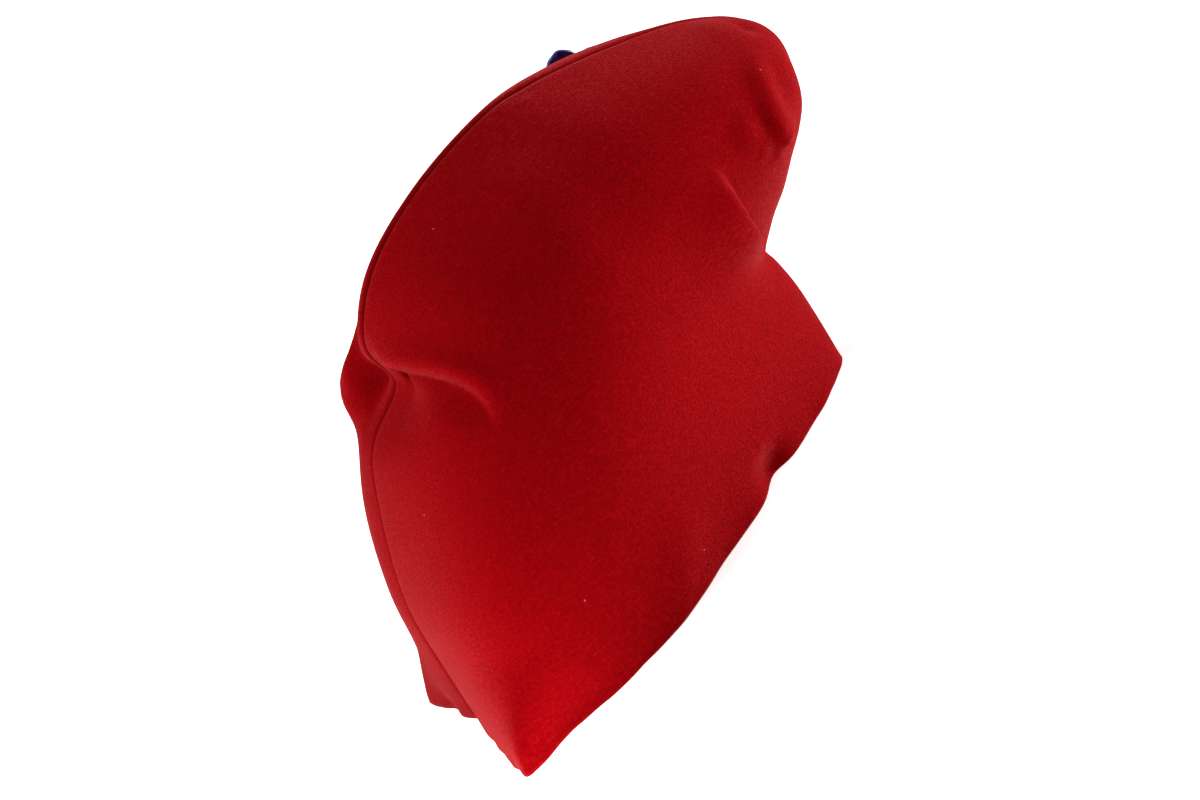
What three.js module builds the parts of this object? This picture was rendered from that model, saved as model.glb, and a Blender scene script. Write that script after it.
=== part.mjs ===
// A soft felt cap of two panels, sewn along one seam that runs up the back, over the crest, round the
// forward tip and down the front. A pleated cockade is pinned to the left panel, just under the crest.
// X points to the front, Y to the left and Z up. The rim lies on Z = 0. Sizes are in millimetres.
import * as THREE from "three";

// Driving sizes
const FELT = 2; // thickness of the felt
const SEAM_GAP = 0.3; // clearance between the two panels inside the seam
const ROLL = 2; // bend of the felt where it turns into the seam
const ALLOWANCE = 5; // felt turned to the inside along the seam
const SEAM_SIDE = ROLL + (FELT + SEAM_GAP) / 2; // from the middle of the seam to the top of one roll
const CROSS_STEPS = 30; // mesh steps across a panel, from the back seam to the front seam
const ROLL_TURN = Math.PI / 4; // half of the quarter turn at the roll
const RIM_BLEND = 0.6; // sections above the rim in which folds keep the rim level
const PATH_STEPS = 40; // samples along a fold
const RIDGE_ROUND = 0.4; // rounding on top of a ridge, as a share of its width
const TUCK_EDGE = 0.32; // steep side of a tuck, as a share of its width
const MIDDLE_X = 128.18; // middle of the cap's box, from the foot of the back seam
const MIDDLE_Y = -2.06;

const RIGHT = -1;
const LEFT = 1;

// Sections of the cap, one row each, from the rim to the end of the tip.
// back and front: the section's two ends on the seam.   bow: how far the section bends towards the tip.
// half: how far each panel swells to its side.   widest: where it does so, as a share of the section.
// full: how square the panel turns at the back.   heel: how far it stands out behind the seam there.
// nose: how full it is at the front.   chin: how far it stands out before the seam there.
// rows: mesh rows from here to the next section.
const SECTION_COLUMNS = [
  "backX", "backY", "backZ", "frontX", "frontY", "frontZ", "bow", "halfRight", "halfLeft",
  "widest", "fullRight", "fullLeft", "heelRight", "heelLeft", "nose", "chin", "rows",
];
const SECTIONS = [
  [-3, 0, 0, 202, 0, 0, 0, 73, 70, 0.24, 0.95, 0.85, 12, 11, 0.26, 0, 3],
  [1.5, 0, 29, 205, 0, 19, 0, 74, 70, 0.28, 0.88, 0.66, 4, 5, 0.26, 0, 2],
  [7.5, 0, 58, 207, 0, 36, 0, 74, 69, 0.32, 0.8, 0.58, -3, 2, 0.28, 0, 3],
  [24, 0, 92, 207, 0, 49, 0, 72, 67, 0.36, 0.72, 0.57, -7, 2.5, 0.3, 0, 5],
  [46.5, 0, 125.5, 206, 0, 56, 0, 68, 63, 0.4, 0.64, 0.58, -10, -8, 0.32, 0, 4],
  [78, 0, 160, 207, 0, 58, 0, 61, 57, 0.44, 0.58, 0.56, -14, -10, 0.34, 0, 2],
  [116.5, 0, 174.2, 211, 0, 61, 0, 54, 51, 0.48, 0.56, 0.56, -17, -13, 0.36, 0, 2],
  [161, 0, 177, 218.5, 0, 66, 0, 47, 45, 0.5, 0.56, 0.56, -17, -6, 0.4, 0, 2],
  [192, 1, 168.5, 227.5, -1, 71.5, 0, 41, 40, 0.5, 0.56, 0.56, -14, 2, 0.46, 0, 3],
  [220.5, 4, 156.5, 237, -2, 79, 1, 35, 33, 0.5, 0.56, 0.56, -10, 1, 0.52, 0, 1],
  [238, 7, 147.5, 246.5, -3, 85.5, 3, 28, 25, 0.5, 0.56, 0.56, -7, -6, 0.55, 0, 1],
  [249, 8, 140, 254.5, -3, 92.5, 6, 19, 17, 0.5, 0.56, 0.56, -1, -1, 0.55, 0, 2],
  [258.5, 7, 132.5, 260, -2, 101, 8, SEAM_SIDE, SEAM_SIDE, 0.5, 0.4, 0.4, -4, -4, 0.4, -3, 0],
];
const TIP_SECTION = SECTIONS.length - 1;

// Folds of the felt, one row each. path: three control points, each a section and a share across the panel.
// push: direction in which the felt moves, or null where it moves along its own normal. depth, width: how
// far it moves and how wide the fold is. lip: how far its upper side hangs over. fade: share of the path
// over which each end dies away.
// dent is a round hollow or swell, ridge a sharper one, and tuck rises or drops steeply on one side only.
const lerp = THREE.MathUtils.lerp;
const smooth = (share) => THREE.MathUtils.smoothstep(share, 0, 1);
const dent = (distance) => Math.exp(-distance * distance);
const ridge = (distance) => Math.exp(RIDGE_ROUND - Math.hypot(distance, RIDGE_ROUND));
const tuck = (distance, offset) => smooth(offset / TUCK_EDGE + 0.5) * dent(distance);
const FOLDS = [
  {
    name: "pinch in the back seam", side: RIGHT,
    path: [[4.1, 0], [4.08, 0.08], [3.95, 0.22]],
    push: [0.95, 0, -0.3], depth: 15, width: 12, shape: dent, lip: 0, fade: [0, 1],
  },
  {
    name: "pinch in the back seam", side: LEFT,
    path: [[4.1, 0], [4.1, 0.01], [4.1, 0.02]],
    push: [0.95, 0, -0.3], depth: 15, width: 12, shape: dent, lip: 0, fade: [0, 0],
  },
  {
    name: "overhang beside the pinch", side: RIGHT,
    path: [[4.42, 0.02], [4.55, 0.365], [3.5, 0.325]],
    push: null, depth: -7, width: 13, shape: tuck, lip: 3, fade: [0.15, 0.85],
  },
  {
    name: "dip along the back seam", side: LEFT,
    path: [[1, 0], [2.6, 0], [4.3, 0]],
    push: [0.9, 0, -0.35], depth: 1.2, width: 5, shape: dent, lip: 0, fade: [0.4, 0.15],
  },
  {
    name: "ridge of the puff", side: LEFT,
    path: [[4.38, 0.06], [4.29, 0.1], [4.18, 0.16]],
    push: [-0.9, -0.2, 0.2], depth: 6.3, width: 8.5, shape: ridge, lip: 0, fade: [0.2, 0.3],
  },
  {
    name: "puff behind the pinch", side: LEFT,
    path: [[4.14, 0.05], [4.05, 0.1], [3.95, 0.16]],
    push: [-0.9, -0.2, 0.2], depth: 7.2, width: 12, shape: dent, lip: 0, fade: [0.2, 0.3],
  },
  {
    name: "brow crease under the tip", side: RIGHT,
    path: [[7.6, 0.55], [6.65, 0.67], [5.4, 0.93]],
    push: null, depth: 8, width: 20, shape: tuck, lip: 3, fade: [0.5, 0.4],
  },
  {
    name: "ridge on the tip", side: RIGHT,
    path: [[10.9, 0.39], [9.2, 0.5], [9.2, 0.78]],
    push: null, depth: 2.5, width: 6, shape: dent, lip: 0, fade: [0.4, 0.15],
  },
  {
    name: "tuck under the tip's ridge", side: RIGHT,
    path: [[8.75, 0.745], [9, 0.66], [9.25, 0.5]],
    push: null, depth: 3.5, width: 9, shape: tuck, lip: 1.5, fade: [0.3, 0.6],
  },
  {
    name: "notch on top of the tip", side: RIGHT,
    path: [[11.1, 0.28], [11.4, 0.3], [11.7, 0.33]],
    push: null, depth: -1.5, width: 4, shape: dent, lip: 0, fade: [0.3, 0.5],
  },
  {
    name: "swell below the tip's ridge", side: RIGHT,
    path: [[8.5, 0.5], [8.5, 0.6], [8.6, 0.71]],
    push: null, depth: 2, width: 7, shape: dent, lip: 0, fade: [0.4, 0.3],
  },
  {
    name: "swell of the crown", side: RIGHT,
    path: [[6.74, 0.124], [5.9, 0.35], [5.08, 0.575]],
    push: null, depth: 2.5, width: 16, shape: dent, lip: 0, fade: [0.3, 0.4],
  },
  {
    name: "kink of the rim", side: RIGHT,
    path: [[0, 0.76], [0.4, 0.755], [0.8, 0.75]],
    push: [0, 1, 0], depth: 7, width: 9, shape: dent, lip: 0, fade: [0, 0.8],
  },
  {
    name: "hollow of the rim", side: RIGHT,
    path: [[0, 0.37], [0.4, 0.38], [0.9, 0.4]],
    push: [0, 1, 0], depth: 5, width: 16, shape: dent, lip: 0, fade: [0, 0.9],
  },
  {
    name: "hollow of the rim", side: LEFT,
    path: [[0, 0.07], [0.3, 0.07], [0.6, 0.07]],
    push: [0.9, 0, 0], depth: 2.4, width: 8, shape: dent, lip: 0, fade: [0, 0.9],
  },
  {
    name: "back corner of the rim", side: RIGHT,
    path: [[0, 0.27], [0.7, 0.27], [1.4, 0.27]],
    push: [-0.88, -0.48, 0], depth: 12.7, width: 11, shape: ridge, lip: 0, fade: [0, 0.9],
  },
  {
    name: "back corner of the rim", side: LEFT,
    path: [[0, 0.17], [0.5, 0.17], [1, 0.17]],
    push: [-0.9, -0.3, 0], depth: 3, width: 9, shape: ridge, lip: 0, fade: [0, 0.9],
  },
  {
    name: "swell above the rim", side: RIGHT,
    path: [[0, 0.59], [0.8, 0.615], [1.8, 0.635]],
    push: null, depth: 2.3, width: 14, shape: dent, lip: 0, fade: [0, 0.6],
  },
];

// Cockade: where its middle is pinned on the left panel, how far it is turned, and its three layers from the
// felt outwards
const COCKADE_AT = [7.8, 0.363];
const COCKADE_TURN = -0.2;
const COCKADE_GAP = 0.3;
const PETALS = 8;
const PETAL_STEPS = 6;
const RIBBON_RINGS = 4;
const RIBBONS = [
  { name: "blue_ribbon", radius: 23, seat: 16, scallop: 6, thickness: 1.4, puff: 2.4, color: 0x14186e },
  { name: "white_ribbon", radius: 15.5, seat: 8.5, scallop: 3.4, thickness: 1.4, puff: 1.7, color: 0xe9e6e0 },
];
const BUTTON = {
  name: "red_centre", radius: 8, height: 3.4, edge: 1.2, sides: 24, steps: 4, color: 0xa3121c,
};

// Value of one column at any place between the sections, on a smooth curve through the rows
function sectionValue(name, section) {
  const column = SECTION_COLUMNS.indexOf(name);
  const row = Math.min(Math.floor(section), TIP_SECTION - 1);
  const value = (index) => SECTIONS[index][column];
  const before = row > 0 ? value(row - 1) : 2 * value(0) - value(1);
  const after = row + 2 <= TIP_SECTION ? value(row + 2) : 2 * value(row + 1) - value(row);
  const [a, b, c, d] = [before, value(row), value(row + 1), after];
  const f = section - row;
  const bend = (2 * a - 5 * b + 4 * c - d) * f * f + (3 * b - a - 3 * c + d) * f ** 3;
  return b + ((c - a) * f + bend) / 2;
}

function cubic(a, b, c, d, t) {
  const u = 1 - t;
  return a * u ** 3 + 3 * b * t * u ** 2 + 3 * c * t ** 2 * u + d * t ** 3;
}

// Point of a panel before its folds: one curve from the back seam to the widest place, one on to the front
function plainPoint(section, share, side) {
  const of = (name) => sectionValue(name, section);
  const own = (name) => of(name + (side === RIGHT ? "Right" : "Left"));
  const back = new THREE.Vector3(of("backX"), of("backY"), of("backZ"));
  const along = new THREE.Vector3(of("frontX"), of("frontY"), of("frontZ")).sub(back);
  const length = Math.hypot(along.x, along.z);
  const widest = of("widest");
  const full = own("full");
  const nose = of("nose");
  const half = share < 0.5 ? 2 * share : 2 * share - 1;
  const place = share < 0.5
    ? cubic(0, -own("heel") / length, widest * (1 - full), widest, half)
    : cubic(widest, lerp(widest, 1, nose), 1 + of("chin") / length, 1, half);
  const swell = share < 0.5 ? cubic(0, full, 1, 1, half) : cubic(1, 1, nose, 0, half);
  const bow = (4 * of("bow") * place * (1 - place)) / length;
  const point = back.addScaledVector(along, place);
  point.x -= along.z * bow;
  point.z += along.x * bow;
  point.y += side * lerp(SEAM_SIDE, own("half"), swell);
  return point;
}

// Outward normal of the unfolded panel, from its two directions
function plainNormal(section, share, side) {
  const near = 0.01;
  const low = Math.max(section - near, 0);
  const high = Math.min(section + near, TIP_SECTION);
  const left = Math.max(share - near, 0);
  const right = Math.min(share + near, 1);
  const up = plainPoint(high, share, side).sub(plainPoint(low, share, side));
  const across = plainPoint(section, right, side).sub(plainPoint(section, left, side));
  return across.cross(up).multiplyScalar(-side).normalize();
}

// Samples along a fold's path on one panel
function foldPath(fold, side) {
  const [start, middle, end] = fold.path.map(([section, share]) => new THREE.Vector2(section, share));
  const line = new THREE.QuadraticBezierCurve(start, middle, end);
  return line.getPoints(PATH_STEPS).map((at) => plainPoint(at.x, at.y, side));
}

// How far all folds of one panel move the felt at a point
function foldShift(point, normal, section, side, folds) {
  const shift = new THREE.Vector3();
  for (const { fold, path } of folds) {
    const distances = path.map((sample) => sample.distanceTo(point));
    const nearest = distances.indexOf(Math.min(...distances));
    const distance = distances[nearest] / fold.width;
    const next = path[Math.min(nearest + 1, PATH_STEPS)];
    const tangent = next.clone().sub(path[Math.max(nearest - 1, 0)]).normalize();
    const across = tangent.cross(normal);
    const offset = point.clone().sub(path[nearest]).dot(across) / fold.width;
    const run = nearest / PATH_STEPS;
    const fadeIn = fold.fade[0] > 0 ? smooth(run / fold.fade[0]) : 1;
    const fadeOut = fold.fade[1] > 0 ? smooth((1 - run) / fold.fade[1]) : 1;
    const fade = fadeIn * fadeOut;
    const push = fold.push ? new THREE.Vector3(...fold.push) : normal.clone();
    if (fold.push) {
      push.y *= -side;
    }
    shift.addScaledVector(push, fold.depth * fade * fold.shape(distance, offset));
    shift.addScaledVector(across, -fold.lip * Math.sign(fold.depth) * fade * dent(distance));
  }
  shift.z *= smooth(section / RIM_BLEND);
  return shift;
}

// Middle surface of a panel, as one point of the felt at a section and a share across
function feltPoint(section, share, side, folds) {
  const point = plainPoint(section, share, side);
  const normal = plainNormal(section, share, side);
  return point.add(foldShift(point, normal, section, side, folds));
}

function foldsOf(side) {
  const own = FOLDS.filter((fold) => fold.side === side);
  return own.map((fold) => ({ fold, path: foldPath(fold, side) }));
}

// Section of each mesh row, with the rows spread evenly between one table row and the next
function meshSections() {
  const rowsColumn = SECTION_COLUMNS.indexOf("rows");
  const list = SECTIONS.flatMap((row, index) =>
    Array.from({ length: row[rowsColumn] }, (_, part) => index + part / row[rowsColumn]));
  return [...list, TIP_SECTION];
}

// Turns an open surface into a closed wall. Points on the rim stay level.
function thicken(points, triangles, thickness) {
  const count = points.length;
  const normals = points.map(() => new THREE.Vector3());
  const edges = new Set();
  for (const [a, b, c] of triangles) {
    const first = points[b].clone().sub(points[a]);
    const normal = first.cross(points[c].clone().sub(points[a]));
    [a, b, c].forEach((corner) => normals[corner].add(normal));
    [[a, b], [b, c], [c, a]].forEach(([from, to]) => edges.add(`${from},${to}`));
  }
  normals.forEach((normal, index) => {
    if (points[index].z === 0) {
      normal.z = 0;
    }
    normal.normalize();
  });
  const layer = (offset) =>
    points.map((point, index) => point.clone().addScaledVector(normals[index], offset));
  const corners = [...layer(thickness / 2), ...layer(-thickness / 2)];
  const faces = [...triangles, ...triangles.map(([a, b, c]) => [a + count, c + count, b + count])];
  for (const edge of edges) {
    const [a, b] = edge.split(",").map(Number);
    if (!edges.has(`${b},${a}`)) {
      faces.push([b, a, a + count], [b, a + count, b + count]);
    }
  }
  return geometryOf(corners, faces);
}

function geometryOf(points, faces) {
  const geometry = new THREE.BufferGeometry().setFromPoints(points);
  geometry.setIndex(faces.flat());
  geometry.computeVertexNormals();
  return geometry;
}

// One panel: its felt, the roll along the seam and the allowance that is turned inside
function panelGeometry(side) {
  const folds = foldsOf(side);
  const sections = meshSections();
  const columns = CROSS_STEPS + 1;
  const points = [];
  const triangles = [];
  // four corners in turn, split along the shorter diagonal
  const quad = (...corners) => {
    const [a, b, c, d] = side === RIGHT ? corners : corners.reverse();
    if (points[a].distanceTo(points[c]) < points[b].distanceTo(points[d])) {
      triangles.push([a, b, c], [a, c, d]);
    } else {
      triangles.push([a, b, d], [b, c, d]);
    }
  };
  for (const section of sections) {
    for (let column = 0; column < columns; column += 1) {
      points.push(feltPoint(section, column / CROSS_STEPS, side, folds));
    }
  }
  const at = (row, column) => row * columns + column;
  const lastRow = sections.length - 1;
  for (let row = 0; row < lastRow; row += 1) {
    for (let column = 0; column < CROSS_STEPS; column += 1) {
      quad(at(row, column), at(row, column + 1), at(row + 1, column + 1), at(row + 1, column));
    }
  }

  // the seam edge, up the back, across the tip and down the front
  const seam = [];
  sections.forEach((section, row) => seam.push({ section, share: 0, index: at(row, 0) }));
  for (let column = 1; column < CROSS_STEPS; column += 1) {
    seam.push({ section: TIP_SECTION, share: column / CROSS_STEPS, index: at(lastRow, column) });
  }
  sections.forEach((section, row) => seam.push({ section, share: 1, index: at(row, CROSS_STEPS) }));
  seam.splice(-sections.length, sections.length, ...seam.slice(-sections.length).reverse());
  const plain = seam.map(({ section, share }) => plainPoint(section, share, side));

  // rings beside the seam edge: how far in from the edge, and how far towards the middle of the seam
  const rings = [
    [ROLL * (1 - Math.cos(ROLL_TURN)), ROLL * Math.sin(ROLL_TURN)],
    [ROLL, ROLL],
    [ROLL + ALLOWANCE, ROLL],
  ];
  let edge = seam.map(({ index }) => index);
  for (const [depth, turn] of rings) {
    const start = points.length;
    seam.forEach(({ section, index }, place) => {
      const next = plain[Math.min(place + 1, seam.length - 1)];
      const tangent = next.clone().sub(plain[Math.max(place - 1, 0)]);
      const inward = new THREE.Vector3(tangent.z, 0, -tangent.x * smooth(section)).normalize();
      const point = points[index].clone().addScaledVector(inward, depth);
      point.y -= side * turn;
      points.push(point);
    });
    const ring = seam.map((_, place) => start + place);
    for (let place = 0; place + 1 < seam.length; place += 1) {
      quad(ring[place], edge[place], edge[place + 1], ring[place + 1]);
    }
    edge = ring;
  }
  return thicken(points, triangles, FELT);
}

// A gathered ribbon: flat where the next layer is seated on it, then petals that puff up towards their ends
function ribbonGeometry({ radius, seat, scallop, thickness, puff }) {
  const around = PETALS * PETAL_STEPS;
  const points = [new THREE.Vector3(0, 0, thickness), new THREE.Vector3(0, 0, 0)];
  const faces = [];
  const top = (ring, step) => 2 + 2 * ((ring - 1) * around + (step % around));
  for (let ring = 1; ring <= RIBBON_RINGS; ring += 1) {
    const share = (ring - 1) / (RIBBON_RINGS - 1);
    for (let step = 0; step < around; step += 1) {
      const angle = (2 * Math.PI * step) / around;
      const petal = Math.abs(Math.cos((PETALS * angle) / 2));
      const reach = lerp(seat, radius - scallop * (1 - Math.sqrt(petal)), share);
      const rise = puff * Math.sin((share * Math.PI) / 2) * petal;
      const [x, y] = [reach * Math.cos(angle), reach * Math.sin(angle)];
      points.push(new THREE.Vector3(x, y, thickness + rise), new THREE.Vector3(x, y, rise));
    }
  }
  for (let step = 0; step < around; step += 1) {
    faces.push([0, top(1, step), top(1, step + 1)], [1, top(1, step + 1) + 1, top(1, step) + 1]);
    for (let ring = 1; ring < RIBBON_RINGS; ring += 1) {
      const [a, b] = [top(ring, step), top(ring + 1, step)];
      const [c, d] = [top(ring + 1, step + 1), top(ring, step + 1)];
      faces.push([a, b, c], [a, c, d], [a + 1, c + 1, b + 1], [a + 1, d + 1, c + 1]);
    }
    const [from, to] = [top(RIBBON_RINGS, step), top(RIBBON_RINGS, step + 1)];
    faces.push([from, from + 1, to + 1], [from, to + 1, to]);
  }
  return geometryOf(points, faces);
}

// A covered button, flat below and domed above
function buttonGeometry({ radius, height, edge, sides, steps }) {
  const profile = [new THREE.Vector2(0, 0), new THREE.Vector2(radius, 0)];
  for (let index = 0; index < steps; index += 1) {
    const angle = (index / steps) * (Math.PI / 2);
    profile.push(new THREE.Vector2(radius * Math.cos(angle), edge + (height - edge) * Math.sin(angle)));
  }
  profile.push(new THREE.Vector2(0, height));
  return new THREE.LatheGeometry(profile, sides).rotateX(Math.PI / 2);
}

function piece(name, geometry, color, roughness) {
  const mesh = new THREE.Mesh(geometry, new THREE.MeshStandardMaterial({ color, roughness, metalness: 0 }));
  mesh.name = name;
  return mesh;
}

// The cockade lies flat on the felt at its middle, with one petal turned up to the crest
function cockade() {
  const [section, share] = COCKADE_AT;
  const folds = foldsOf(LEFT);
  const middle = feltPoint(section, share, LEFT, folds);
  const normal = plainNormal(section, share, LEFT);
  const upwards = feltPoint(section, share - 0.01, LEFT, folds).sub(middle);
  const side = normal.clone().cross(upwards).normalize();
  const group = new THREE.Group();
  group.setRotationFromMatrix(new THREE.Matrix4().makeBasis(side.clone().cross(normal), side, normal));
  group.rotateZ(COCKADE_TURN);
  group.position.copy(middle).addScaledVector(normal, FELT / 2 + COCKADE_GAP);
  let height = 0;
  for (const ribbon of RIBBONS) {
    const mesh = piece(ribbon.name, ribbonGeometry(ribbon), ribbon.color, 0.55);
    mesh.position.z = height;
    group.add(mesh);
    height += ribbon.thickness + COCKADE_GAP;
  }
  const button = piece(BUTTON.name, buttonGeometry(BUTTON), BUTTON.color, 0.6);
  button.position.z = height;
  group.add(button);
  return group;
}

const cap = new THREE.Group();
cap.add(piece("right_panel", panelGeometry(RIGHT), 0x8c0a10, 0.95));
cap.add(piece("left_panel", panelGeometry(LEFT), 0x8c0a10, 0.95));
cap.add(cockade());
cap.position.set(-MIDDLE_X, -MIDDLE_Y, 0);

export default cap;
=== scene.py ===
"""Phrygian cap: two felt panels sewn over the crest, with a pleated ribbon cockade on the left side.

X points to the front of the cap, Y to its left and Z up. Pattern sizes are in millimetres, measured from the
foot of the back seam, and every mesh is put into metres about the middle of the cap's box.
"""
from math import radians
import bpy
import numpy as np
from mathutils import Matrix, Vector


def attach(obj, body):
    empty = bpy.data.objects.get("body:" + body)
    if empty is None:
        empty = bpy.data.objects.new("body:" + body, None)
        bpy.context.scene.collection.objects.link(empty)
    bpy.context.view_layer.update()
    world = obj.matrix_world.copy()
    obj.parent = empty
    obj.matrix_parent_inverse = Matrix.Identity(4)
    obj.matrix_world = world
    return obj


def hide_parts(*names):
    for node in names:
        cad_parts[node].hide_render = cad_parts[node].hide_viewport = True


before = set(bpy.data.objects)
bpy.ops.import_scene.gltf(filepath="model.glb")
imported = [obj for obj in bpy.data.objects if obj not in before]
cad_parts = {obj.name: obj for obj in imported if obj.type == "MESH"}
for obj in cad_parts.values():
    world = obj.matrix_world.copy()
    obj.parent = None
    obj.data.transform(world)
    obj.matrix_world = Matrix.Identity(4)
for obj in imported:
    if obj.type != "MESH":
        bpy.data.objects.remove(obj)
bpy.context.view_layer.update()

# Driving sizes of the felt. The two seam allowances press into each other a little, so the seam is closed.
MM = 0.001
FELT = 2.0
SEAM_PRESS = 0.12
ROLL = 2.0
ALLOWANCE = 5.0
SEAM_SIDE = ROLL + (FELT - SEAM_PRESS) / 2
MIDDLE = np.array([128.18, -2.06, 0.0])
RIM_BLEND = 0.6
TUCK_EDGE = 0.32
RIDGE_ROUND = 0.4
RIGHT, LEFT = -1, 1

# Ripples of the rim's cut edge: waves across the panel, where they start, and how far they move the edge.
RIM_RIPPLES = [(7, 1.0, 0.3), (13, 0.4, 0.22), (22, 2.2, 0.12)]
RIPPLE_REACH = 0.3
RIPPLE_END = 0.05

# Light of the floor and where it glows, in metres from the middle of the rim
FLOOR_LIGHT = 0.72
# Each glow is a painted pool of light on the floor, which lights the cap from below though no lamp is there.
FLOOR_GLOWS = [
    {"place": (-0.2, -0.13, 0), "reach": 0.16, "strength": 8.4},
    {"place": (0.1, -0.13, 0), "reach": 0.15, "strength": 1.3},
]

# Fineness of the felt's mesh
ROWS = 208
COLUMNS = 176
ROLL_STEPS = 5
SOFT_ROUNDS = 14
SOFT_SHARE = 0.6
SOFT_REACH = 9
# Painted shade of the seam groove: the share of the dark groove colour on each ring of the seam roll and
# allowance, from the panel's edge inwards.
GROOVE_SHADE = [0.05, 0.2, 0.5, 0.8, 1, 1, 1]
PATH_STEPS = 80
FINE_SECTIONS = 2400

# Cockade on the left panel: where its middle is pinned, how far it is turned, and its layers outwards.
# seat: radius of the flat middle.   scallop: depth between petals.   puff: how far the petals stand up.
# pleat: depth of the small pleats.
COCKADE_AT = (7.8, 0.363)
COCKADE_TURN = -0.2
COCKADE_GAP = 0.3
PETALS = 8
PETAL_STEPS = 48
RIBBON_RINGS = 26
RIBBON = 1.4
PLEATS = 3
RIBBONS = [
    {"node": "blue_ribbon", "radius": 23, "seat": 16, "scallop": 6, "puff": 2.4, "pleat": 0.4},
    {"node": "white_ribbon", "radius": 15.5, "seat": 8.5, "scallop": 3.4, "puff": 1.7, "pleat": 0.3},
]
RIBBON_HOLE = 4
RIBBON_FLAT = 0.35
BUTTON = {"radius": 8, "height": 3.4, "edge": 1.2, "steps": 33}

# Fibres of the felt: the turn of each layer and how many cross a metre along each of its axes.
FIBRE_LAYERS = [
    ((0.2, 0.9, 0.1), (240, 1800, 1800)),
    ((0.5, -0.6, 0.4), (1800, 240, 1800)),
    ((1.1, 0.3, -0.7), (1800, 1800, 240)),
    ((-0.7, 0.4, 1.3), (260, 1700, 1700)),
]
LINT_SCALE = 55
LINT_SIZE = 0.022

# Colours of the felt
FELT_DARK = (0.136, 0.0001, 0.0006, 1)
FELT_LIGHT = (0.345, 0.001, 0.0042, 1)
LINT_PINK = (0.3, 0.08, 0.08, 1)
# Painted shade: the dark colour laid along the seam groove, where shadow falls between the two rolls.
GROOVE_PAINTED_SHADE = (0.03, 0.0, 0.0, 1)
SHEEN_PINK = (1.0, 0.21, 0.22, 1)

# Sections of the cap, one row each, from the rim to the end of the tip.
# back and front: the section's two ends on the seam.   bow: how far the section bends towards the tip.
# half: how far each panel swells to its side.   widest: where it does so, as a share of the section.
# full: how square the panel turns at the back.   heel: how far it stands out behind the seam there.
# nose: how full it is at the front.   chin: how far it stands out before the seam there.
SECTION_COLUMNS = (
    "back_x back_y back_z front_x front_y front_z bow half_right half_left "
    "widest full_right full_left heel_right heel_left nose chin"
).split()
SECTIONS = np.array([
    [-3, 0, 0, 202, 0, 0, 0, 73, 70, 0.24, 0.95, 0.85, 12, 11, 0.26, 0],
    [1.5, 0, 29, 205, 0, 19, 0, 74, 70, 0.28, 0.88, 0.66, 4, 5, 0.26, 0],
    [7.5, 0, 58, 207, 0, 36, 0, 74, 69, 0.32, 0.8, 0.58, -3, 2, 0.28, 0],
    [24, 0, 92, 207, 0, 49, 0, 72, 67, 0.36, 0.72, 0.57, -7, 2.5, 0.3, 0],
    [46.5, 0, 125.5, 206, 0, 56, 0, 68, 63, 0.4, 0.64, 0.58, -10, -8, 0.32, 0],
    [78, 0, 160, 207, 0, 58, 0, 61, 57, 0.44, 0.58, 0.56, -14, -10, 0.34, 0],
    [116.5, 0, 174.2, 211, 0, 61, 0, 54, 51, 0.48, 0.56, 0.56, -17, -13, 0.36, 0],
    [161, 0, 177, 218.5, 0, 66, 0, 47, 45, 0.5, 0.56, 0.56, -17, -6, 0.4, 0],
    [192, 1, 168.5, 227.5, -1, 71.5, 0, 41, 40, 0.5, 0.56, 0.56, -14, 2, 0.46, 0],
    [220.5, 4, 156.5, 237, -2, 79, 1, 35, 33, 0.5, 0.56, 0.56, -10, 1, 0.52, 0],
    [238, 7, 147.5, 246.5, -3, 85.5, 3, 28, 25, 0.5, 0.56, 0.56, -7, -6, 0.55, 0],
    [249, 8, 140, 254.5, -3, 92.5, 6, 19, 17, 0.5, 0.56, 0.56, -1, -1, 0.55, 0],
    [258.5, 7, 132.5, 260, -2, 101, 8, SEAM_SIDE, SEAM_SIDE, 0.5, 0.4, 0.4, -4, -4, 0.4, -3],
])
TIP_SECTION = len(SECTIONS) - 1

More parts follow.
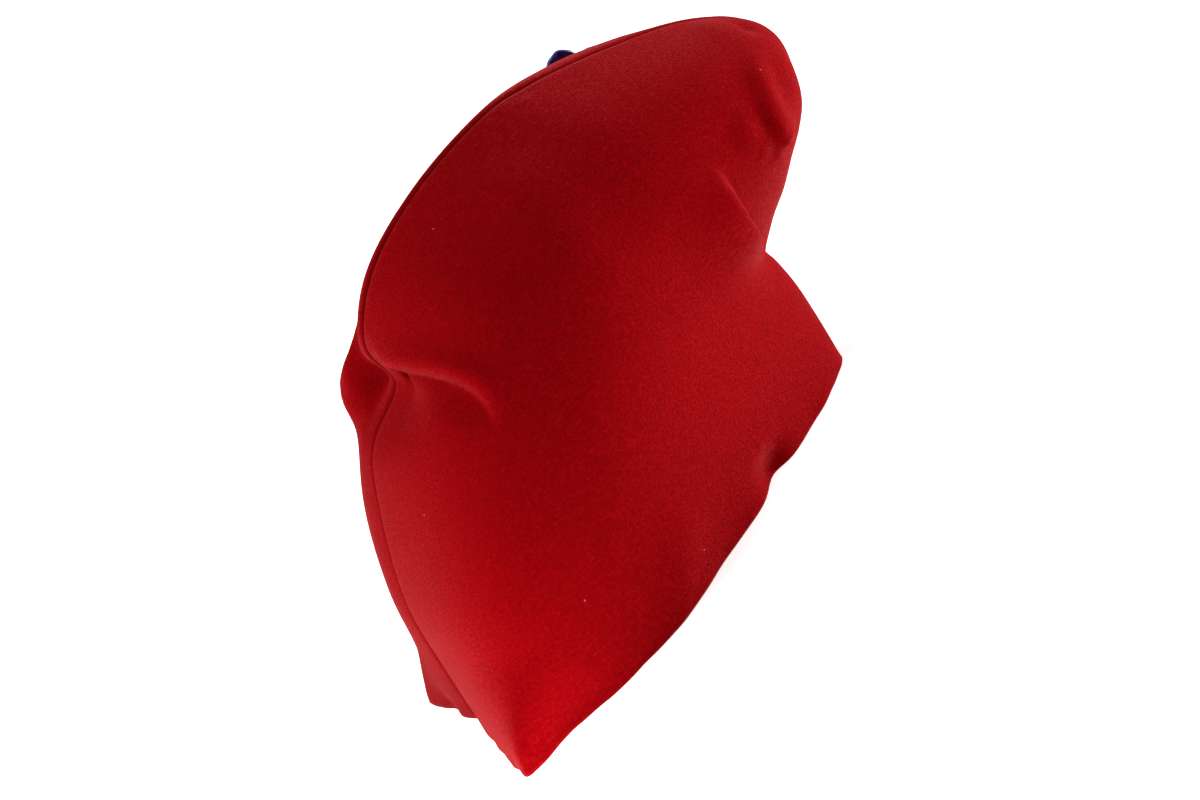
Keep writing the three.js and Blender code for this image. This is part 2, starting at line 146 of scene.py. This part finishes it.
# Folds of the felt, one row each: the panel, three control points of the path (a section and a share across
# the panel), the direction of the push (None is the felt's own normal), how far and how wide, the profile,
# how far the upper side hangs over, and the share of the path over which each end dies away. A push is in
# the right panel's axes and is mirrored for the left one.
PINCH_PUSH = (0.95, 0, -0.3)
PUFF_PUSH = (-0.9, -0.2, 0.2)
HEEL_PUSH = (-0.88, -0.48, 0)
FOLDS = [
    ("back pinch", RIGHT, ((4.1, 0), (4.08, 0.08), (3.95, 0.22)), PINCH_PUSH, 15, 12, "dent", 0, (0, 1)),
    ("back pinch", LEFT, ((4.1, 0), (4.1, 0.01), (4.1, 0.02)), PINCH_PUSH, 15, 12, "dent", 0, (0, 0)),
    ("overhang", RIGHT, ((4.42, 0.02), (4.55, 0.365), (3.5, 0.325)), None, -7, 13, "tuck", 3, (0.05, 0.85)),
    ("lip roll", RIGHT, ((4.5, 0.02), (4.66, 0.385), (3.5, 0.345)), None, 1.8, 4.5, "dent", 0, (0.1, 0.6)),
    ("pinch hole", RIGHT, ((4.36, 0.015), (4.33, 0.04), (4.3, 0.07)), None, -3, 4, "dent", 0, (0, 0.5)),
    ("seam dip", LEFT, ((1, 0), (2.6, 0), (4.3, 0)), (0.9, 0, -0.35), 1.2, 5, "dent", 0, (0.4, 0.15)),
    ("puff edge", LEFT, ((4.38, 0.06), (4.29, 0.1), (4.18, 0.16)), PUFF_PUSH, 6.3, 8.5, "ridge", 0, (0.2, 0.3)),
    ("puff", LEFT, ((4.14, 0.05), (4.05, 0.1), (3.95, 0.16)), PUFF_PUSH, 7.2, 12, "dent", 0, (0.2, 0.3)),
    ("brow crease", RIGHT, ((7.6, 0.55), (6.65, 0.67), (5.4, 0.93)), None, 8, 20, "tuck", 3, (0.5, 0.4)),
    ("tip ridge", RIGHT, ((10.9, 0.39), (9.2, 0.5), (9.2, 0.78)), None, 2.5, 6, "dent", 0, (0.4, 0.15)),
    ("tip tuck", RIGHT, ((8.75, 0.745), (9, 0.66), (9.25, 0.5)), None, 3.5, 9, "tuck", 1.5, (0.3, 0.6)),
    ("tip notch", RIGHT, ((11.1, 0.28), (11.4, 0.3), (11.7, 0.33)), None, -1.5, 4, "dent", 0, (0.3, 0.5)),
    ("tip flank", RIGHT, ((8.5, 0.5), (8.5, 0.6), (8.6, 0.71)), None, 2, 7, "dent", 0, (0.4, 0.3)),
    ("crown swell", RIGHT, ((6.74, 0.124), (5.9, 0.35), (5.08, 0.575)), None, 2.5, 16, "dent", 0, (0.3, 0.4)),
    ("rim kink", RIGHT, ((0, 0.76), (0.4, 0.755), (0.8, 0.75)), (0, 1, 0), 7, 9, "dent", 0, (0, 0.8)),
    ("rim hollow", RIGHT, ((0, 0.37), (0.4, 0.38), (0.9, 0.4)), (0, 1, 0), 5, 16, "dent", 0, (0, 0.9)),
    ("rim hollow", LEFT, ((0, 0.07), (0.3, 0.07), (0.6, 0.07)), (0.9, 0, 0), 2.4, 8, "dent", 0, (0, 0.9)),
    ("heel corner", RIGHT, ((0, 0.27), (0.7, 0.27), (1.4, 0.27)), HEEL_PUSH, 12.7, 11, "ridge", 0, (0, 0.9)),
    ("heel corner", LEFT, ((0, 0.17), (0.5, 0.17), (1, 0.17)), (-0.9, -0.3, 0), 3, 9, "ridge", 0, (0, 0.9)),
    ("seam pucker", RIGHT, ((7.42, 0), (7.36, 0.02), (7.31, 0.045)), None, -1.6, 2.4, "dent", 0, (0, 0.6)),
    ("rim swell", RIGHT, ((0, 0.59), (0.8, 0.615), (1.8, 0.635)), None, 2.3, 14, "dent", 0, (0, 0.6)),
]


def section_value(name, section):
    """One column of the table at any section, on a smooth cubic through the rows."""
    column = SECTIONS[:, SECTION_COLUMNS.index(name)]
    row = np.clip(np.floor(section).astype(int), 0, TIP_SECTION - 1)
    first = 2 * column[0] - column[1]
    last = 2 * column[-1] - column[-2]
    padded = np.concatenate([[first], column, [last]])
    a, b, c, d = (padded[row + step] for step in range(4))
    f = section - row
    bend = (2 * a - 5 * b + 4 * c - d) * f**2 + (3 * b - a - 3 * c + d) * f**3
    return b + ((c - a) * f + bend) / 2


def cubic(a, b, c, d, t):
    """Cubic curve with four control values."""
    u = 1 - t
    return a * u**3 + 3 * b * t * u**2 + 3 * c * t**2 * u + d * t**3


def smooth(share):
    """Slow start and slow end between 0 and 1."""
    share = np.clip(share, 0, 1)
    return share * share * (3 - 2 * share)


def plain_panel(section, share, side):
    """Points of a panel before its folds. Each section is a curve from the back seam to the widest place and
    one on to the front seam. place runs along the line between its two seam points, and swell to the side."""
    section, share = np.broadcast_arrays(np.asarray(section, float), np.asarray(share, float))
    own = "_right" if side == RIGHT else "_left"
    back = np.stack([section_value("back_" + axis, section) for axis in "xyz"], -1)
    front = np.stack([section_value("front_" + axis, section) for axis in "xyz"], -1)
    along = front - back
    length = np.hypot(along[..., 0], along[..., 2])
    widest = section_value("widest", section)
    full = section_value("full" + own, section)
    nose = section_value("nose", section)
    heel = section_value("heel" + own, section) / length
    chin = section_value("chin", section) / length
    rear = np.clip(2 * share, 0, 1)
    fore = np.clip(2 * share - 1, 0, 1)
    before = share < 0.5
    place = np.where(
        before,
        cubic(0, -heel, widest * (1 - full), widest, rear),
        cubic(widest, widest + (1 - widest) * nose, 1 + chin, 1, fore),
    )
    swell = np.where(before, cubic(0, full, 1, 1, rear), cubic(1, 1, nose, 0, fore))
    bow = 4 * section_value("bow", section) * place * (1 - place) / length
    points = back + along * place[..., None]
    points[..., 0] -= along[..., 2] * bow
    points[..., 2] += along[..., 0] * bow
    points[..., 1] += side * (SEAM_SIDE + (section_value("half" + own, section) - SEAM_SIDE) * swell)
    return points


def grid_normals(points, side):
    """Outward unit normals of a grid, from its differences along rows and columns."""
    up = np.gradient(points, axis=0)
    across = np.gradient(points, axis=1)
    normal = np.cross(across, up) * -side
    return normal / np.maximum(np.linalg.norm(normal, axis=-1, keepdims=True), 1e-9)


def fold_path(controls, side):
    """Points and tangents along a fold: a quadratic curve on the panel through three control points."""
    t = np.linspace(0, 1, PATH_STEPS)[:, None]
    start, middle, end = np.array(controls, float)
    at = start * (1 - t) ** 2 + 2 * middle * t * (1 - t) + end * t**2
    path = plain_panel(at[:, 0], at[:, 1], side)
    tangent = np.gradient(path, axis=0)
    return path, tangent / np.linalg.norm(tangent, axis=-1, keepdims=True)


def folded(points, normal, section, side):
    """Adds every fold of one panel. Each point is moved by the fold's profile of its distance to the path:
    dent is a round hollow or swell, ridge a sharp one, and tuck drops steeply on one side only."""
    shift = np.zeros_like(points)
    for _, panel, controls, push, depth, width, profile, lip, (fade_in, fade_out) in FOLDS:
        if panel != side:
            continue
        path, tangent = fold_path(controls, side)
        squares = ((points[..., None, :] - path) ** 2).sum(-1)
        nearest = squares.argmin(-1)
        distance = np.sqrt(squares.min(-1)) / width
        run = nearest / (PATH_STEPS - 1)
        fade = np.ones_like(run)
        if fade_in:
            fade = fade * smooth(run / fade_in)
        if fade_out:
            fade = fade * smooth((1 - run) / fade_out)
        across = np.cross(tangent[nearest], normal)
        offset = ((points - path[nearest]) * across).sum(-1) / width
        if profile == "dent":
            amount = np.exp(-distance**2)
        elif profile == "ridge":
            amount = np.exp(RIDGE_ROUND - np.hypot(distance, RIDGE_ROUND))
        else:
            amount = smooth(offset / TUCK_EDGE + 0.5) * np.exp(-distance**2)
        if push is None:
            direction = normal
        else:
            direction = np.array([push[0], push[1] * -side, push[2]])
        shift += (depth * fade * amount)[..., None] * direction
        shift -= (lip * np.sign(depth) * fade * np.exp(-distance**2))[..., None] * across
    shift[..., 2] *= smooth(section / RIM_BLEND)
    return points + shift


def rippled(points, normal, section, share):
    """Small ripples along the rim: sines of the share across the panel, which die away above the rim."""
    amount = sum(height * np.sin(2 * np.pi * waves * share + start) for waves, start, height in RIM_RIPPLES)
    level = normal * np.array([1, 1, 0])
    fade = smooth(1 - section / RIPPLE_REACH) * smooth(np.minimum(share, 1 - share) / RIPPLE_END)
    return points + (amount * fade)[..., None] * level


def mesh_sections():
    """Sections of the mesh rows, spread evenly by the mean of the lengths along the seam and mid panel."""
    fine = np.linspace(0, TIP_SECTION, FINE_SECTIONS)
    lengths = 0
    for share in (0.0, 0.5):
        line = plain_panel(fine, share, RIGHT)
        lengths = lengths + np.linalg.norm(np.diff(line, axis=0), axis=1)
    travelled = np.concatenate([[0], np.cumsum(lengths)])
    return np.interp(np.linspace(0, travelled[-1], ROWS), travelled, fine)


def seam_edge():
    """Grid indices along the seam: up the back, across the tip and down the front."""
    grid = np.arange(ROWS * COLUMNS).reshape(ROWS, COLUMNS)
    return np.concatenate([grid[:, 0], grid[-1, 1:-1], grid[::-1, -1]])


def quads_between(first, second):
    """Faces of the strip between two rows of indices."""
    return np.stack([second[:-1], first[:-1], first[1:], second[1:]], -1)


def seam_distance(grid):
    """Distance of each grid point to the seam, along its row or its column."""
    row_steps = np.linalg.norm(np.diff(grid, axis=1), axis=-1)
    column_steps = np.linalg.norm(np.diff(grid, axis=0), axis=-1)
    zeros = np.zeros((len(grid), 1))
    from_back = np.concatenate([zeros, np.cumsum(row_steps, axis=1)], axis=1)
    from_front = np.concatenate([np.cumsum(row_steps[:, ::-1], axis=1)[:, ::-1], zeros], axis=1)
    to_tip = np.cumsum(column_steps[::-1], axis=0)[::-1]
    from_tip = np.concatenate([to_tip, np.zeros((1, grid.shape[1]))], axis=0)
    return np.minimum(np.minimum(from_back, from_front), from_tip)


def softened(points, faces, weight):
    """Rounds a surface: each point moves towards the mean of its neighbours by its own weight. The rim
    stays level."""
    pairs = np.concatenate([faces[:, [place, (place + 1) % 4]] for place in range(4)])
    near = np.concatenate([pairs[:, 0], pairs[:, 1]])
    far = np.concatenate([pairs[:, 1], pairs[:, 0]])
    neighbours = np.bincount(near, minlength=len(points))[:, None]
    level = points[:, 2] == 0
    for _ in range(SOFT_ROUNDS):
        total = np.stack([np.bincount(near, points[far, axis], len(points)) for axis in range(3)], -1)
        step = (total / neighbours - points) * weight[:, None]
        step[level, 2] = 0
        points = points + step
    return points


def felt_panel(side):
    """Middle surface of one panel with its seam. The grid of felt points is followed by rings along the seam
    edge, which turn through a quarter circle towards the middle and run on inside as the allowance."""
    sections = mesh_sections()[:, None]
    shares = np.linspace(0, 1, COLUMNS)[None]
    plain = plain_panel(sections, shares, side)
    normal = grid_normals(plain, side)
    grid = folded(plain, normal, sections + 0 * shares, side)
    grid = rippled(grid, normal, sections, shares)
    index = np.arange(ROWS * COLUMNS).reshape(ROWS, COLUMNS)
    faces = [np.stack([index[:-1, :-1], index[:-1, 1:], index[1:, 1:], index[1:, :-1]], -1).reshape(-1, 4)]
    points = [grid.reshape(-1, 3)]

    edge = seam_edge()
    plain_edge = plain.reshape(-1, 3)[edge]
    tangent = np.gradient(plain_edge, axis=0)
    level = smooth((sections + 0 * shares).reshape(-1)[edge])
    inward = np.stack([tangent[:, 2], 0 * level, -tangent[:, 0] * level], -1)
    inward /= np.linalg.norm(inward, axis=-1, keepdims=True)
    turns = np.linspace(0, np.pi / 2, ROLL_STEPS + 1)[1:]
    rings = [(ROLL * (1 - np.cos(turn)), ROLL * np.sin(turn)) for turn in turns]
    rings += [(ROLL + ALLOWANCE / 2, ROLL), (ROLL + ALLOWANCE, ROLL)]
    before = edge
    count = ROWS * COLUMNS
    for depth, turn in rings:
        ring = points[0][edge] + inward * depth
        ring[:, 1] -= side * turn
        points.append(ring)
        here = count + np.arange(len(edge))
        faces.append(quads_between(before, here))
        before = here
        count += len(edge)
    faces = np.concatenate(faces)
    grid_weight = SOFT_SHARE * smooth(1 - seam_distance(grid) / SOFT_REACH).reshape(-1)
    ring_weight = np.repeat([SOFT_SHARE] * ROLL_STEPS + [0, 0], len(edge))
    points = softened(np.concatenate(points), faces, np.concatenate([grid_weight, ring_weight]))
    # Painted shade for the seam groove: none on the grid, and on each seam ring the share given by
    # GROOVE_SHADE.
    painted_groove_shade = np.concatenate([np.zeros(len(grid_weight)), np.repeat(GROOVE_SHADE, len(edge))])
    return points, faces if side == RIGHT else faces[:, ::-1], painted_groove_shade


def face_normals(points, faces):
    """Unit normals of the points: the sum of the crossed diagonals of the faces around each."""
    corner = points[faces]
    cross = np.cross(corner[:, 2] - corner[:, 0], corner[:, 3] - corner[:, 1])
    normal = np.zeros_like(points)
    for place in range(4):
        np.add.at(normal, faces[:, place], cross)
    normal[points[:, 2] == 0, 2] = 0
    return normal / np.maximum(np.linalg.norm(normal, axis=1, keepdims=True), 1e-9)


def open_edges(faces):
    """Directed edges that only one face uses."""
    pairs = np.concatenate([faces[:, [place, (place + 1) % 4]] for place in range(4)])
    size = faces.max() + 1
    forward = pairs[:, 0] * size + pairs[:, 1]
    return pairs[~np.isin(forward, pairs[:, 1] * size + pairs[:, 0])]


def joined_layers(upper, lower, faces):
    """Closed skin of two layers with the same faces, joined along their open edges."""
    count = len(upper)
    edges = open_edges(faces)
    sides = np.stack([edges[:, 1], edges[:, 0], edges[:, 0] + count, edges[:, 1] + count], -1)
    return np.concatenate([upper, lower]), np.concatenate([faces, faces[:, ::-1] + count, sides])


def walled(points, faces, thickness):
    """Closed wall from a surface: half of the thickness to each side of it along its normals."""
    half = face_normals(points, faces) * thickness / 2
    return joined_layers(points + half, points - half, faces)


def cockade_frame():
    """Middle of the cockade and its three axes: towards the crest, along the cap and out of the felt."""
    section, share = COCKADE_AT
    near = 0.01
    sections = np.array([section, section - near, section + near, section, section])
    shares = np.array([share, share, share, share - near, share + near])
    middle, below, above, before, after = plain_panel(sections, shares, LEFT)
    outward = np.cross(after - before, above - below) * -LEFT
    outward /= np.linalg.norm(outward)
    along = np.cross(outward, before - middle)
    along /= np.linalg.norm(along)
    crestward = np.cross(along, outward)
    turned = np.cos(COCKADE_TURN) * crestward + np.sin(COCKADE_TURN) * along
    return middle + outward * (FELT / 2 + COCKADE_GAP), np.stack([turned, np.cross(outward, turned), outward])


def ribbon_petals(radius, seat, scallop, puff, pleat, **_):
    """Pleated ribbon ring. Petals follow the cosine of the angle: they set how far the edge reaches, and how
    far the ribbon stands up, as a sine of the share outwards. Small pleats grow towards the edge."""
    share = np.linspace(0, 1, RIBBON_RINGS)[:, None]
    angle = np.linspace(0, 2 * np.pi, PETALS * PETAL_STEPS, endpoint=False)[None]
    petal = np.abs(np.cos(PETALS * angle / 2))
    flat = np.clip(share / RIBBON_FLAT, 0, 1)
    outer = np.clip((share - RIBBON_FLAT) / (1 - RIBBON_FLAT), 0, 1)
    edge = radius - scallop * (1 - np.sqrt(petal))
    reach = RIBBON_HOLE + (seat - RIBBON_HOLE) * flat + (edge - seat) * outer
    folds = np.cos(PLEATS * PETALS * angle)
    rise = puff * np.sin(outer * np.pi / 2) * petal + pleat * outer * folds * petal
    points = np.stack([reach * np.cos(angle), reach * np.sin(angle), rise + RIBBON / 2], -1)
    index = np.arange(points.shape[0] * points.shape[1]).reshape(points.shape[:2])
    ahead = np.roll(index, -1, axis=1)
    faces = np.stack([index[:-1], index[1:], ahead[1:], ahead[:-1]], -1).reshape(-1, 4)
    return points.reshape(-1, 3), faces


def domed_button(radius, height, edge, steps):
    """Covered button: a square grid drawn out to a disc, flat below and an ellipse in section above."""
    u, v = np.meshgrid(np.linspace(-1, 1, steps), np.linspace(-1, 1, steps), indexing="ij")
    x = u * np.sqrt(1 - v**2 / 2)
    y = v * np.sqrt(1 - u**2 / 2)
    dome = np.sqrt(np.clip(1 - x**2 - y**2, 0, 1))
    upper = np.stack([radius * x, radius * y, edge + (height - edge) * dome], -1).reshape(-1, 3)
    lower = upper * np.array([1, 1, 0])
    index = np.arange(steps * steps).reshape(steps, steps)
    faces = np.stack([index[:-1, :-1], index[1:, :-1], index[1:, 1:], index[:-1, 1:]], -1).reshape(-1, 4)
    return joined_layers(upper, lower, faces)


def mesh_object(name, points, faces, material):
    """Object at the origin with its place in its mesh."""
    mesh = bpy.data.meshes.new(name)
    mesh.from_pydata(((points - MIDDLE) * MM).tolist(), [], faces.tolist())
    mesh.update()
    mesh.polygons.foreach_set("use_smooth", np.ones(len(mesh.polygons), bool))
    mesh.materials.append(material)
    piece = bpy.data.objects.new(name, mesh)
    bpy.context.collection.objects.link(piece)
    return piece


def new_material(name):
    """Material with one Principled shader, its tree and a way to add nodes."""
    material = bpy.data.materials.new(name)
    material.use_nodes = True
    tree = material.node_tree
    shader = tree.nodes["Principled BSDF"]

    def add(kind, inputs=None, **settings):
        node = tree.nodes.new(kind)
        for key, value in settings.items():
            setattr(node, key, value)
        for key, value in (inputs or {}).items():
            if isinstance(value, bpy.types.NodeSocket):
                tree.links.new(value, node.inputs[key])
            else:
                node.inputs[key].default_value = value
        return node

    return material, tree, shader, add


def red_felt():
    """Napped wool felt: short pale fibres in several directions over a darker mottled ground, a few specks of
    lint, a soft bump and a sheen."""
    material, tree, shader, add = new_material("red felt")
    place = add("ShaderNodeTexCoord").outputs["Object"]
    mottle = add("ShaderNodeTexNoise", {"Vector": place, "Scale": 700, "Detail": 2, "Roughness": 0.6})
    ground = add("ShaderNodeMapRange", {"Value": mottle.outputs["Fac"], "To Min": 0.2, "To Max": 0.55})
    shade = ground.outputs["Result"]
    for turn, scale in FIBRE_LAYERS:
        turned = add("ShaderNodeMapping", {"Vector": place, "Rotation": turn, "Scale": scale})
        streaks = add("ShaderNodeTexNoise", {
            "Vector": turned.outputs[0], "Scale": 1, "Detail": 3, "Roughness": 0.7,
        })
        pale = add("ShaderNodeMapRange", {
            "Value": streaks.outputs["Fac"], "From Min": 0.42, "From Max": 0.78,
        })
        lighter = add("ShaderNodeMath", {0: shade, 1: pale.outputs["Result"]}, operation="MAXIMUM")
        shade = add("ShaderNodeMix", {0: 0.7, 2: shade, 3: lighter.outputs[0]}).outputs[0]
    ramp = add("ShaderNodeValToRGB", {"Fac": shade})
    ramp.color_ramp.elements[0].position = 0.3
    ramp.color_ramp.elements[0].color = FELT_DARK
    ramp.color_ramp.elements[1].position = 0.76
    ramp.color_ramp.elements[1].color = FELT_LIGHT
    specks = add("ShaderNodeTexVoronoi", {"Vector": place, "Scale": LINT_SCALE})
    few = add("ShaderNodeMath", {0: specks.outputs["Distance"], 1: LINT_SIZE}, operation="LESS_THAN")
    lint = add("ShaderNodeMix", {
        0: few.outputs[0], 6: ramp.outputs["Color"], 7: LINT_PINK,
    }, data_type="RGBA")
    # Painted shade: the felt colour turns dark along the seam groove, by a point attribute that the panels
    # carry.
    painted_groove_shade = add("ShaderNodeAttribute", attribute_name="painted_groove_shade")
    shaded = add("ShaderNodeMix", {
        0: painted_groove_shade.outputs["Fac"], 6: lint.outputs[2], 7: GROOVE_PAINTED_SHADE,
    }, data_type="RGBA")
    tree.links.new(shaded.outputs[2], shader.inputs["Base Color"])
    bump = add("ShaderNodeBump", {"Height": shade, "Strength": 0.6, "Distance": 0.0006})
    tree.links.new(bump.outputs["Normal"], shader.inputs["Normal"])
    shader.inputs["Roughness"].default_value = 1.0
    shader.inputs["Specular IOR Level"].default_value = 0.01
    shader.inputs["Sheen Weight"].default_value = 0.25
    shader.inputs["Sheen Roughness"].default_value = 0.35
    shader.inputs["Sheen Tint"].default_value = SHEEN_PINK
    return material


def satin(name, dark, light):
    """Satin ribbon: fine threads across the ribbon and a broad soft shine."""
    material, tree, shader, add = new_material(name)
    place = add("ShaderNodeTexCoord").outputs["Object"]
    threads = add("ShaderNodeTexNoise", {"Vector": place, "Scale": 2500, "Detail": 2})
    ramp = add("ShaderNodeValToRGB", {"Fac": threads.outputs["Fac"]})
    ramp.color_ramp.elements[0].position = 0.3
    ramp.color_ramp.elements[0].color = (*dark, 1)
    ramp.color_ramp.elements[1].position = 0.7
    ramp.color_ramp.elements[1].color = (*light, 1)
    tree.links.new(ramp.outputs["Color"], shader.inputs["Base Color"])
    bump = add("ShaderNodeBump", {"Height": threads.outputs["Fac"], "Strength": 0.15, "Distance": 0.0001})
    tree.links.new(bump.outputs["Normal"], shader.inputs["Normal"])
    shader.inputs["Roughness"].default_value = 0.38
    shader.inputs["Sheen Weight"].default_value = 0.2
    return material


def floor_material():
    """Pale self-glowing floor of a light tent, with painted pools of light beside the heel and the front of the
    cap.
    """
    material, tree, shader, add = new_material("white floor")
    place = add("ShaderNodeTexCoord").outputs["Object"]
    light = FLOOR_LIGHT
    for glow in FLOOR_GLOWS:
        apart = add("ShaderNodeVectorMath", {0: place, 1: glow["place"]}, operation="DISTANCE")
        spread = add("ShaderNodeMapRange", {
            "Value": apart.outputs["Value"], "From Min": 0, "From Max": glow["reach"],
            "To Min": glow["strength"], "To Max": 0,
        }, interpolation_type="SMOOTHSTEP")
        light = add("ShaderNodeMath", {0: light, 1: spread.outputs["Result"]}, operation="ADD").outputs[0]
    tree.links.new(light, shader.inputs["Emission Strength"])
    shader.inputs["Base Color"].default_value = (0.9, 0.9, 0.9, 1)
    shader.inputs["Roughness"].default_value = 0.9
    shader.inputs["Emission Color"].default_value = (1, 1, 1, 1)
    return material


# The two panels
felt = red_felt()
for side, node in ((RIGHT, "right_panel"), (LEFT, "left_panel")):
    points, faces, painted_groove_shade = felt_panel(side)
    panel = mesh_object("felt_" + node, *walled(points, faces, FELT), felt)
    # Painted shade of the seam groove on the outer skin; the inner skin gets none.
    shade = panel.data.attributes.new("painted_groove_shade", "FLOAT", "POINT")
    shade.data.foreach_set("value", np.concatenate([painted_groove_shade, 0 * painted_groove_shade]))
    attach(panel, "root")
    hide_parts(node)

# The cockade, pinned to the left panel
middle, axes = cockade_frame()
height = 0
ribbon_materials = {
    "blue_ribbon": satin("blue satin", (0.004, 0.005, 0.12), (0.008, 0.01, 0.22)),
    "white_ribbon": satin("white satin", (0.72, 0.71, 0.68), (0.86, 0.85, 0.82)),
}
for ribbon in RIBBONS:
    node = ribbon["node"]
    points, faces = ribbon_petals(**ribbon)
    points = middle + (points + np.array([0, 0, height])) @ axes
    petals = mesh_object("pleated_" + node, *walled(points, faces, RIBBON), ribbon_materials[node])
    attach(petals, "root")
    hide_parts(node)
    height += RIBBON + COCKADE_GAP
points, faces = domed_button(**BUTTON)
points = middle + (points + np.array([0, 0, height])) @ axes
button = mesh_object("felt_button", points, faces, felt)
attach(button, "root")
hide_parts("red_centre")

# Camera at the photograph's angle: right side, slightly behind, above the rim, and rolled. PIXEL is the size
# of one pixel on the cap, and SEAM_FOOT_PIXEL is where the foot of the back seam lies in the image.
ELEVATION = radians(22)
BEHIND = radians(10)
ROLL_ANGLE = radians(41.5)
PIXEL = 0.385
VIEW_DISTANCE = 1600
SEAM_FOOT_PIXEL = np.array([482, 722])
VIEW_DEPTH = 40
IMAGE = np.array([1200, 800])
SENSOR = 36
ce, se, cb, sb = np.cos(ELEVATION), np.sin(ELEVATION), np.cos(BEHIND), np.sin(BEHIND)
cr, sr = np.cos(ROLL_ANGLE), np.sin(ROLL_ANGLE)
level_right = np.array([cb, -sb, 0])
level_up = np.array([sb * se, cb * se, ce])
towards = np.array([-sb * ce, -cb * ce, se])
offset = (IMAGE / 2 - SEAM_FOOT_PIXEL) * PIXEL * np.array([1, -1])
centre = level_right * (cr * offset[0] + sr * offset[1]) + level_up * (cr * offset[1] - sr * offset[0])
right_axis = cr * level_right - sr * level_up
up_axis = sr * level_right + cr * level_up
eye = (centre + towards * (VIEW_DEPTH + VIEW_DISTANCE) - MIDDLE) * MM
lens = bpy.data.cameras.new("camera")
lens.sensor_width = SENSOR
lens.lens = SENSOR * VIEW_DISTANCE / (IMAGE[0] * PIXEL)
camera = bpy.data.objects.new("camera", lens)
turn = Matrix([right_axis, up_axis, towards]).transposed().to_4x4()
camera.matrix_world = Matrix.Translation(Vector(eye)) @ turn
bpy.context.collection.objects.link(camera)
bpy.context.scene.camera = camera

# Floor
FLOOR_HALF = 6
corners = [(-1, -1), (1, -1), (1, 1), (-1, 1)]
floor_mesh = bpy.data.meshes.new("floor")
floor_mesh.from_pydata([(FLOOR_HALF * x, FLOOR_HALF * y, 0) for x, y in corners], [], [(0, 1, 2, 3)])
floor = bpy.data.objects.new("floor", floor_mesh)
floor_mesh.materials.append(floor_material())
bpy.context.collection.objects.link(floor)

# Surroundings and lights. Each softbox has a place and a size in metres, and a power in watts.
WORLD_LIGHT = 0.05
LIGHT_AIM = Vector((0, 0, 0.08))
LIGHTS = [
    ("back softbox", (-2.2, -0.2, 0.25), (1.6, 0.6), 20),
    ("front softbox", (2.2, 0.0, 0.1), (1.6, 0.6), 125),
    ("top softbox", (-1.2, 0.5, 2.0), (2.0, 2.0), 80),
]
world = bpy.data.worlds.new("tent")
world.use_nodes = True
world.node_tree.nodes["Background"].inputs["Color"].default_value = (1, 1, 1, 1)
world.node_tree.nodes["Background"].inputs["Strength"].default_value = WORLD_LIGHT
bpy.context.scene.world = world
bpy.context.scene.view_settings.view_transform = "Standard"

for name, place, size, power in LIGHTS:
    lamp = bpy.data.lights.new(name, "AREA")
    lamp.shape = "RECTANGLE"
    lamp.size, lamp.size_y = size
    lamp.energy = power
    light = bpy.data.objects.new(name, lamp)
    light.location = place
    light.visible_camera = False
    aim = LIGHT_AIM - Vector(place)
    light.rotation_mode = "QUATERNION"
    light.rotation_quaternion = aim.to_track_quat("-Z", "Y")
    bpy.context.collection.objects.link(light)
